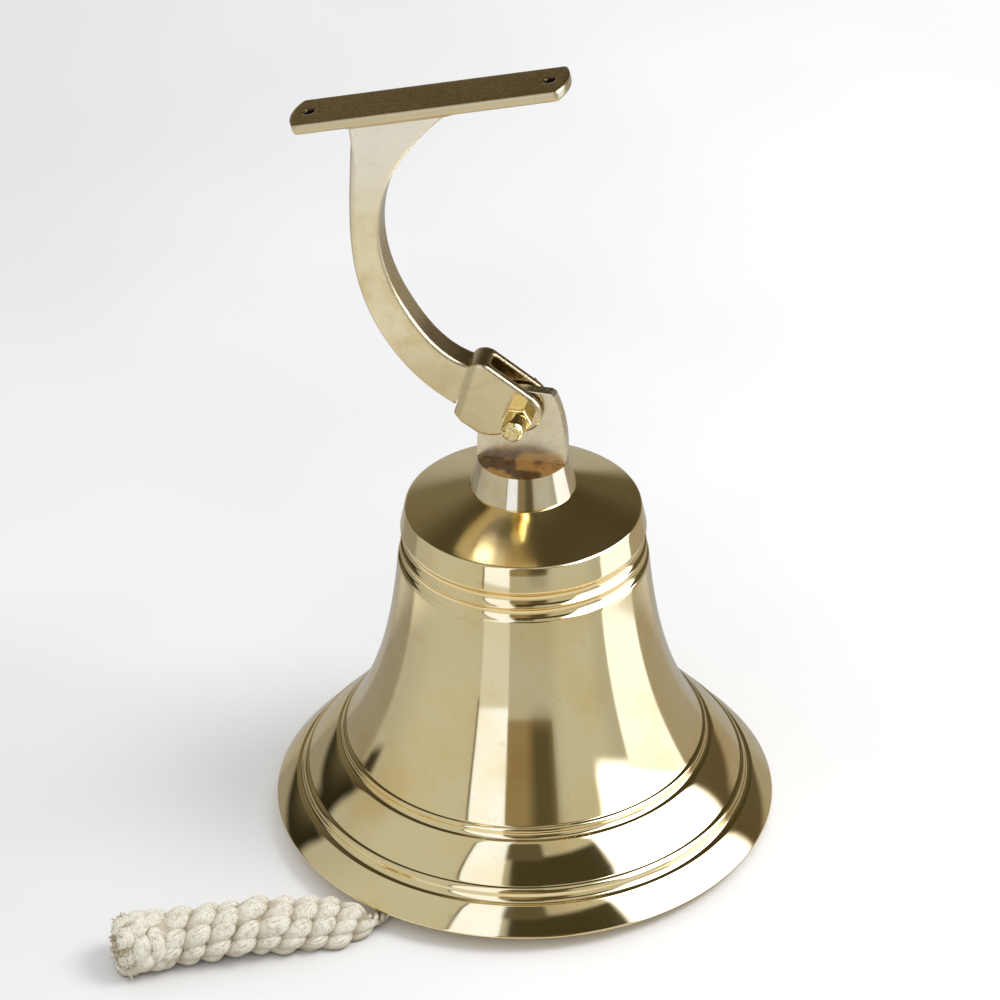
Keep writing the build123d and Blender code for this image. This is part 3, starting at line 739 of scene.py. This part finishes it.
def cast_brass():
    """Satin, linished casting: warm clouds, a dark brushed plate on top, a few dark pits, painted
    shade and a painted highlight.
    """
    material, s = new_material("satin_brass_bracket")
    xyz = s.position()
    plate_up = (-math.sin(BRACKET_LEAN), 0, math.cos(BRACKET_LEAN))
    plate_ahead = (math.cos(BRACKET_LEAN), 0, math.sin(BRACKET_LEAN))
    from_pivot = s.vector("SUBTRACT", xyz, tuple(joints["bell_swing"]["pos_m"]))
    rise = s.vector("DOT_PRODUCT", from_pivot, plate_up)
    along = s.vector("DOT_PRODUCT", from_pivot, plate_ahead)
    in_plate = s.ramp(rise, PLATE_FACE - PLATE_T - 0.3 * MM, PLATE_FACE - PLATE_T - 0.1 * MM)
    from_centre = s.math("ABSOLUTE", s.math("SUBTRACT", along, PLATE_CENTRE))
    to_hole = s.math("SUBTRACT", from_centre, SCREW_HALF_SPAN)
    across = s.component(xyz, "Y")
    from_hole = s.node("ShaderNodeCombineXYZ", {0: to_hole, 1: across}).outputs[0]
    from_hole = s.vector("LENGTH", from_hole)
    hole = s.times(in_plate, s.ramp(from_hole, 2.35 * MM, 2.2 * MM))
    normal = s.true_normal()
    facing_up = s.ramp(s.vector("DOT_PRODUCT", normal, plate_up), 0.8, 0.95)
    facing_front = s.ramp(s.vector("DOT_PRODUCT", normal, (0, -1, 0)), 0.75, 0.95)
    top = s.times(facing_up, in_plate)
    side_shade = s.math("SUBTRACT", 1.0, facing_front)
    clouds = s.noise(xyz, 34, 5, 0.62)
    patches = s.noise(xyz, 75, 3, 0.5, 0.6)
    grain = s.noise(s.scaled(xyz, 110, 2400, 2400), 1, 3, 0.6)
    speck = s.node("ShaderNodeTexVoronoi", {"Vector": xyz, "Scale": 420.0}).outputs["Distance"]
    gate = s.ramp(s.noise(xyz, 95, 2), 0.64, 0.70)
    pit = s.times(s.ramp(speck, 0.20, 0.12), gate)
    edge_rounding_and_yarn_shade = s.node("ShaderNodeBevel", {"Radius": 1.8 * MM}, samples=6).outputs[0]
    shaded_normal = s.node("ShaderNodeNewGeometry").outputs["Normal"]
    edge_shade = s.ramp(s.vector("DOT_PRODUCT", edge_rounding_and_yarn_shade, shaded_normal), 0.995, 0.90, 0.0, 0.5)
    colour = s.mix(s.ramp(clouds, 0.42, 0.70), (0.87, 0.725, 0.42), (0.72, 0.52, 0.225))
    colour = s.mix(s.ramp(patches, 0.56, 0.72, 0.0, 0.45), colour, (0.70, 0.49, 0.20))
    # painted shade on faces turned away from the front
    colour = s.mix(s.times(side_shade, 0.5), colour, (0.36, 0.25, 0.10))
    # darker towards the pivot
    colour = s.mix(s.ramp(rise, 45 * MM, 15 * MM, 0.0, 0.6), colour, (0.56, 0.42, 0.20))
    # painted highlight high on the arm, towards the plate
    colour = s.mix(s.ramp(rise, 80 * MM, 125 * MM, 0.0, 0.6), colour, (0.93, 0.85, 0.68))
    colour = s.mix(s.times(in_plate, 0.75), colour, (0.60, 0.45, 0.20))
    # painted shade along the rounded edges
    colour = s.mix(edge_shade, colour, (0.62, 0.44, 0.18))
    plate = s.mix(s.ramp(grain, 0.35, 0.75), (0.52, 0.34, 0.10), (0.19, 0.12, 0.03))
    colour = s.mix(top, colour, plate)
    # painted shade inside the screw holes
    colour = s.mix(hole, colour, (0.07, 0.05, 0.025))
    colour = s.mix(s.times(pit, 0.8), colour, (0.10, 0.06, 0.02))
    rough = s.ramp(s.plus(clouds, s.times(grain, 0.3)), 0.35, 0.95, 0.14, 0.27)
    height = s.plus(
        s.times(grain, s.plus(0.05, s.times(top, 0.25))),
        s.times(pit, -4.0),
        s.times(s.noise(xyz, 150, 2), 1.1),
    )
    finish_metal(s, colour, rough, height, Normal=edge_rounding_and_yarn_shade)
    return material


def turned_hanger():
    """Collar turned bright, tongue milled flat and satin, with painted shade where they meet."""
    material, s = new_material("turned_brass_hanger")
    xyz = s.position()
    height = s.component(xyz, "Z")
    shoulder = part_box("hanger")[0].z + HANGER_COLLAR
    tongue = s.ramp(height, shoulder + 0.2 * MM, shoulder + 0.6 * MM)
    ledge = s.times(s.ramp(height, shoulder - 0.15 * MM, shoulder - 0.05 * MM),
                    s.ramp(height, shoulder + 0.2 * MM, shoulder + 0.1 * MM))
    root = s.times(s.ramp(height, shoulder + 7 * MM, shoulder + 0.5 * MM), tongue)
    clouds = s.noise(xyz, 60, 4)
    marks = s.noise(s.scaled(xyz, 420, 420, 300), 1, 5, 0.75)
    turning = s.noise(s.lathe(xyz), 4200, 2)
    ledge_shade_mottle = s.ramp(s.noise(xyz, 120, 4), 0.42, 0.60)
    smudge = s.times(s.ramp(s.noise(xyz, 95, 5, 0.75), 0.56, 0.72), tongue)
    colour = s.mix(s.ramp(clouds, 0.4, 0.75), (0.78, 0.64, 0.385), (0.70, 0.52, 0.26))
    # painted shade on the collar's top under the tongue, mottled from dark brown to near black
    colour = s.mix(ledge, colour, s.mix(ledge_shade_mottle, (0.42, 0.235, 0.07), (0.12, 0.07, 0.03)))
    # painted shade low on the tongue, where it meets the collar
    colour = s.mix(s.times(root, 0.35), colour, (0.55, 0.36, 0.14))
    colour = s.mix(s.times(smudge, 0.30), colour, (0.45, 0.36, 0.22))
    rough = s.choose(tongue, 0.10, s.ramp(marks, 0.3, 0.8, 0.2, 0.34))
    finish_metal(s, colour, rough, s.choose(tongue, s.times(turning, 0.12), s.times(marks, 0.14)))
    return material


def bright_nut():
    """Golden polished nut with a rough sawn end."""
    material, s = new_material("bright_brass_nut")
    xyz = s.position()
    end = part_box("pivot_cap_nut")[0].y
    sawn = s.ramp(s.component(xyz, "Y"), end + 0.25 * MM, end + 0.1 * MM)
    marks = s.noise(s.scaled(xyz, 500, 1, 2600), 1, 4, 0.7)
    clouds = s.noise(xyz, 300, 3)
    colour = s.mix(s.ramp(clouds, 0.4, 0.7), (0.92, 0.73, 0.30), (0.80, 0.55, 0.16))
    colour = s.mix(s.times(sawn, s.ramp(marks, 0.5, 0.62)), colour, (0.16, 0.11, 0.05))
    height = s.plus(s.times(marks, sawn, 8.0), s.noise(xyz, 380, 2))
    finish_metal(s, colour, s.choose(sawn, 0.09, 0.35), height)
    return material


def plated_steel():
    """Zinc plate, a little cloudy, with machining lines."""
    material, s = new_material("plated_steel")
    xyz = s.position()
    clouds = s.noise(xyz, 150, 4)
    lines = s.noise(s.scaled(xyz, 300, 300, 4000), 1, 2)
    colour = s.mix(clouds, (0.62, 0.62, 0.60), (0.48, 0.50, 0.52))
    finish_metal(s, colour, s.ramp(clouds, 0.3, 0.7, 0.22, 0.38), lines, 0.006 * MM)
    return material


def clapper_brass():
    """Turned but unpolished brass, browned by handling."""
    material, s = new_material("clapper_brass")
    xyz = s.position()
    clouds = s.noise(xyz, 110, 5, 0.65)
    fine = s.noise(xyz, 1600, 3)
    colour = s.mix(s.ramp(clouds, 0.35, 0.7), (0.80, 0.60, 0.29), (0.50, 0.34, 0.14))
    finish_metal(s, colour, s.ramp(clouds, 0.3, 0.7, 0.20, 0.36), fine, 0.01 * MM)
    return material


# ---- cotton ------------------------------------------------------------------------------------

def cotton(name, light, shade, deep, fibre):
    """Soft cotton yarn, with painted shade: pale where it stands proud, darker brown in the gaps
    and between the yarns.

    The phase of the plait is the one in herringbone(). Loose yarns, with a tone above 1, have no
    plait and little bump."""
    material, s = new_material(name)
    xyz = s.position()
    tone_and_shade = s.node("ShaderNodeAttribute", attribute_name="tone_and_shade").outputs["Fac"]
    uv = s.node("ShaderNodeUVMap", uv_map="UVMap").outputs[0]
    u = s.component(uv, "X")
    v = s.component(uv, "Y")
    lean = s.math("PINGPONG", s.times(v, CHEVRON_ROWS / (2 * math.pi)), 1.0)
    sway = s.math("SINE", s.plus(s.math("DIVIDE", u, WOBBLE_REACH), s.times(v, 2.0)))
    phase = s.plus(
        s.math("DIVIDE", u, YARN_PITCH), s.times(lean, CHEVRON_LEAN), s.times(sway, WOBBLE))
    yarn = s.math("ABSOLUTE", s.math("SINE", s.times(phase, math.pi)))
    half_yarn = s.math("ABSOLUTE", s.math("SINE", s.times(phase, 2 * math.pi)))
    cloud = s.noise(xyz, 260, 4, 0.6)
    fibres = s.noise(xyz, fibre, 3, 0.75, 1.2)
    loose = s.ramp(tone_and_shade, 1.05, 1.15)
    plaited = s.math("SUBTRACT", 1.0, loose)
    # painted shade between the yarns, broken up by noise, on plaited cords only
    edge_rounding_and_yarn_shade = s.times(s.ramp(s.noise(xyz, 520, 3), 0.38, 0.62, 0.05, 0.75), plaited)
    # painted shade from occlusion: darker near the bell and on the under side
    shelter_shade = s.occlusion(30 * MM)
    # painted shade from close occlusion in the gaps, kept light on loose yarns
    gap_shade = s.math("MAXIMUM", s.occlusion(3.5 * MM), s.times(loose, 0.62))
    # the tone attribute, mostly painted shade, sets the starting colour
    colour = s.mix(s.ramp(tone_and_shade, 0.0, 0.7), shade, light)
    # toward the shade colour: the loose yarns' own darker ends, clouds and fibres, then painted
    # shade between the yarns, near the bell and in the gaps
    for where in (
        s.times(loose, s.ramp(tone_and_shade, 1.2, 1.9, 0.95, 0.45)),
        s.ramp(cloud, 0.48, 0.72, 0.0, 0.5),
        s.ramp(fibres, 0.48, 0.66, 0.0, 0.65),
        s.times(s.ramp(yarn, 0.85, 0.15), edge_rounding_and_yarn_shade),
        s.times(s.ramp(half_yarn, 0.5, 0.0, 0.0, 0.2), edge_rounding_and_yarn_shade),
        s.ramp(shelter_shade, 0.75, 0.25, 0.0, 0.75),
        s.ramp(gap_shade, 0.86, 0.45, 0.0, 0.7),
    ):
        colour = s.mix(where, colour, shade)
    # the deepest painted shade, in the tightest gaps
    colour = s.mix(s.ramp(gap_shade, 0.60, 0.12, 0.0, 0.95), colour, deep)
    fluff = s.times(s.noise(xyz, fibre * 2.3, 2), 0.5)
    height = s.plus(fibres, fluff, s.times(yarn, plaited, 0.35))
    height = s.times(height, s.ramp(loose, 0, 1, 1.0, 0.2))
    finish_material(
        s, Base_Color=colour, Roughness=0.95, Normal=s.bump(height, 0.2 * MM),
        Sheen_Weight=0.2, Sheen_Roughness=0.5, Specular_IOR_Level=0.0,
    )
    return material


# ---- the bell and the CAD pieces ---------------------------------------------------------------

bell = make_bell()
bell.data.materials.append(polished_bell())
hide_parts("bell_body")
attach(bell, "bell")

finishes = {
    turned_hanger(): ["hanger"],
    cast_brass(): ["bracket"],
    bright_nut(): ["pivot_cap_nut", "pivot_bolt", "pivot_washer"],
    plated_steel(): ["hanger_stud", "crown_washer", "clamp_nut", "split_pin"],
    clapper_brass(): [
        "clapper_clevis", "clapper_hinge_pin", "clapper_rod", "clapper_ball", "clapper_tail_ring",
    ],
}
for material, names in finishes.items():
    for name in names:
        mesh = frame["nodes"][name].data
        mesh.materials.clear()
        mesh.materials.append(material)

# ---- the lanyard -------------------------------------------------------------------------------

rope_cotton = cotton(
    "rope_cotton", (0.92, 0.90, 0.79), (0.47, 0.405, 0.275), (0.115, 0.072, 0.034), 2600)
twine_cotton = cotton(
    "whipping_twine", (0.56, 0.48, 0.35), (0.34, 0.26, 0.16), (0.10, 0.06, 0.03), 3400)

halfway = upper_length * 0.52      # where the two sennit pieces meet, clear of both joints

upper_rope = Tubes()
laid_strands(upper_rope, neck_line(), NECK_R, 3.2, 0.6)
core(upper_rope, 2 * MM, halfway + 3 * MM)
sennit(upper_rope, 0, halfway)
upper_rope = upper_rope.build("lanyard_upper_sennit")

lower_rope = Tubes()
core(lower_rope, halfway - 3 * MM, ROPE_LENGTH - 10 * MM)
sennit(lower_rope, halfway, ROPE_LENGTH)
lower_rope = lower_rope.build("lanyard_lower_sennit")

knot = make_end_knot()
loop = make_loop()
whipping = make_whipping()

for piece, material, slot in (
    (upper_rope, rope_cotton, "cotton_rope"),
    (lower_rope, rope_cotton, "cotton_rope"),
    (knot, rope_cotton, "cotton_rope"),
    (loop, rope_cotton, "cotton_rope"),
    (whipping, twine_cotton, "whipping_twine"),
):
    piece.data.materials.append(material)

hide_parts("rope_neck", "rope_sennit_upper")
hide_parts("rope_sennit_lower")
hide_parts("rope_end_knot")
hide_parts("rope_loop")
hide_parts("rope_whipping")
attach(knot, "lanyard_lower")
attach(loop, "lanyard_neck")
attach(whipping, "lanyard_neck")
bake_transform(upper_rope)
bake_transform(lower_rope)

# ---- studio ------------------------------------------------------------------------------------

CAMERA_AZIMUTH = math.radians(12.1)
CAMERA_ELEVATION = math.radians(33.2)
CAMERA_ROLL = math.radians(0.45)
CAMERA_DISTANCE = 1.9752
CAMERA_TARGET = Vector((-9.0, -1.9, 140.3)) * MM
FLOOR_TILT = 0.038           # the bell stands on its lip and its rope, and leans this much
FLOOR_RISES = Vector((0.5, 0.866, 0))
FLOOR_HALF = 3.0
LIT_POINT = Vector((0, 0, 100 * MM))
SURROUNDINGS = (0.50, 0.535, 0.60)
to_camera = Vector((math.sin(CAMERA_AZIMUTH), -math.cos(CAMERA_AZIMUTH), 0))
to_right = Vector((math.cos(CAMERA_AZIMUTH), math.sin(CAMERA_AZIMUTH), 0))


def make_camera():
    back = to_camera * math.cos(CAMERA_ELEVATION) + Vector((0, 0, math.sin(CAMERA_ELEVATION)))
    turn = Matrix.Rotation(-CAMERA_ROLL, 3, back)
    right = turn @ to_right
    up = turn @ back.cross(to_right)
    data = bpy.data.cameras.new("studio_camera")
    data.lens = 180
    data.sensor_width = 36
    data.clip_start = 0.01
    data.clip_end = 20
    camera = bpy.data.objects.new("studio_camera", data)
    place = Matrix.Translation(CAMERA_TARGET + back * CAMERA_DISTANCE)
    camera.matrix_world = place @ Matrix((right, up, back)).transposed().to_4x4()
    bpy.context.scene.collection.objects.link(camera)
    bpy.context.scene.camera = camera


# What the metal mirrors, as cards laid over each other in this order. In degrees: azimuth from and
# to, elevation from and to, width of the soft edge; then the colour. Azimuth 0 is towards the
# camera and grows to the right, elevation 0 is level.
CARDS = (
    (-180, 180, -90, -27, 2, (0.84, 0.88, 0.98)),       # the pale floor close by
    (112, 248, 17, 100, 3, (0.066, 0.058, 0.036)),      # dark room above and behind
    (112, 180, 5, 30, 8, (0.10, 0.095, 0.075)),
    (145, 215, -90, 14, 8, (0.44, 0.45, 0.46)),         # sweep behind
    (-150, -114, -30, 24, 3, (0.33, 0.335, 0.35)),      # dim gap left of the left screen
    (-146, -111, 1, 24, 3, (0.022, 0.022, 0.013)),      # dark stand in that gap
    (-112, -104, -4, 6, 2.5, (0.05, 0.05, 0.04)),
    (111, 150, -30, 24, 3, (0.40, 0.385, 0.36)),        # dim gap right of the right screen
    (113, 165, 1, 26, 3, (0.12, 0.105, 0.075)),
    (-92, -30, -30, 80, 18, (0.60, 0.64, 0.70)),        # left screen, lit most near the camera
    (24, 60, -30, 80, 8, (0.58, 0.62, 0.68)),           # right screen
    (190, 236, 12, 42, 12, (0.19, 0.18, 0.15)),         # side wall, far left
    (-36.5, -35, -14, 60, 0.6, (0.16, 0.15, 0.12)),     # gap between left screen and strip
    (-35, -12.5, -12, 78, 0.5, (1.12, 1.34, 2.10)),     # white strip, left of the camera
    (-35, -12.5, -27, -12, 0.5, (0.74, 0.82, 1.02)),
    (-9, 47, 29, 50, 2, (0.060, 0.058, 0.038)),         # dark ceiling between the soft boxes
    (-12.5, 20, -9, 32, 1, (0.30, 0.26, 0.19)),         # the open side, dark behind the camera
    (4, 20, -9, 32, 5, (0.105, 0.095, 0.07)),
    (-12.5, 12, 48, 64, 2, (0.12, 0.11, 0.08)),
    (50, 110, 5, 62, 5, (5.6, 6.4, 9.5)),               # large soft box on the right
    (72, 111, -27, 5, 1, (1.30, 1.50, 2.10)),
)


def make_world():
    """The cards for mirrored rays, plain greys for diffuse ones, near white for the camera."""
    world = bpy.data.worlds.new("studio")
    bpy.context.scene.world = world
    world.use_nodes = True
    world.cycles.sampling_method = "NONE"     # or diffuse surfaces would sample the mirrored cards
    s = Shader(world.node_tree)
    direction = s.node("ShaderNodeTexCoord").outputs["Generated"]
    azimuth = s.math("DEGREES", s.math(
        "ARCTAN2",
        s.vector("DOT_PRODUCT", direction, tuple(to_right)),
        s.vector("DOT_PRODUCT", direction, tuple(to_camera)),
    ))
    wrapped = s.math("MODULO", s.plus(azimuth, 360.0), 360.0)
    elevation = s.math("DEGREES", s.math("ARCSINE", s.component(direction, "Z")))
    seen = SURROUNDINGS
    for a0, a1, e0, e1, soft, colour in CARDS:
        angle = wrapped if a1 > 180 else azimuth
        card = s.times(
            s.times(s.ramp(angle, a0 - soft, a0 + soft), s.ramp(angle, a1 + soft, a1 - soft)),
            s.times(s.ramp(elevation, e0 - soft, e0 + soft),
                    s.ramp(elevation, e1 + soft, e1 - soft)),
        )
        seen = s.mix(card, seen, colour)
    path = s.node("ShaderNodeLightPath")
    ambient = s.mix(s.ramp(elevation, -10, 70), (0.64, 0.64, 0.64), (0.90, 0.90, 0.90))
    shown = s.mix(path.outputs["Is Diffuse Ray"], seen, ambient)
    shown = s.mix(path.outputs["Is Camera Ray"], shown, (0.98, 0.98, 0.98))
    background = s.node("ShaderNodeBackground", {"Color": shown, "Strength": 1.0})
    s.node("ShaderNodeOutputWorld", {"Surface": background.outputs[0]})


def make_floor():
    """A pale floor, tipped the way the bell leans when it stands on its lip and its rope."""
    verts = [
        (x, y, FLOOR_TILT * (FLOOR_RISES.x * x + FLOOR_RISES.y * y - mouth_r))
        for x, y in (
            (-FLOOR_HALF, -FLOOR_HALF), (FLOOR_HALF, -FLOOR_HALF),
            (FLOOR_HALF, FLOOR_HALF), (-FLOOR_HALF, FLOOR_HALF),
        )
    ]
    floor = make_object("studio_floor", verts, [(0, 1, 2, 3)])
    material, s = new_material("studio_floor")
    xyz = s.position()
    across = s.vector("DOT_PRODUCT", xyz, tuple(to_right))
    # painted light falloff: darker towards the left, paler towards the right, with soft blotches
    tone_and_shade = s.ramp(s.plus(across, s.noise(xyz, 3, 2)), 0.0, 1.1)
    colour = s.mix(tone_and_shade, (0.74, 0.74, 0.745), (0.93, 0.93, 0.935))
    finish_material(s, Base_Color=colour, Roughness=1.0, Specular_IOR_Level=0.0)
    floor.data.materials.append(material)
    floor.visible_glossy = False


def make_light(name, offset, size, power, colour):
    """A soft disk that shines on the object from an offset, unseen in reflections."""
    data = bpy.data.lights.new(name, "AREA")
    data.shape = "DISK"
    data.size = size
    data.energy = power
    data.color = colour
    light = bpy.data.objects.new(name, data)
    light.location = LIT_POINT + offset
    light.rotation_euler = (-offset).to_track_quat("-Z", "Y").to_euler()
    light.visible_glossy = False
    bpy.context.scene.collection.objects.link(light)


make_camera()
make_world()
make_floor()
make_light("key", to_right * 1.1 + to_camera * 0.2 + Vector((0, 0, 1.5)), 0.9, 16, (1, 1, 1))
make_light(
    "fill", to_right * -0.9 + to_camera * 1.0 + Vector((0, 0, 1.0)), 1.0, 1.5, (1, 0.98, 0.95))

scene = bpy.context.scene
scene.view_settings.view_transform = "Standard"
scene.view_settings.look = "None"
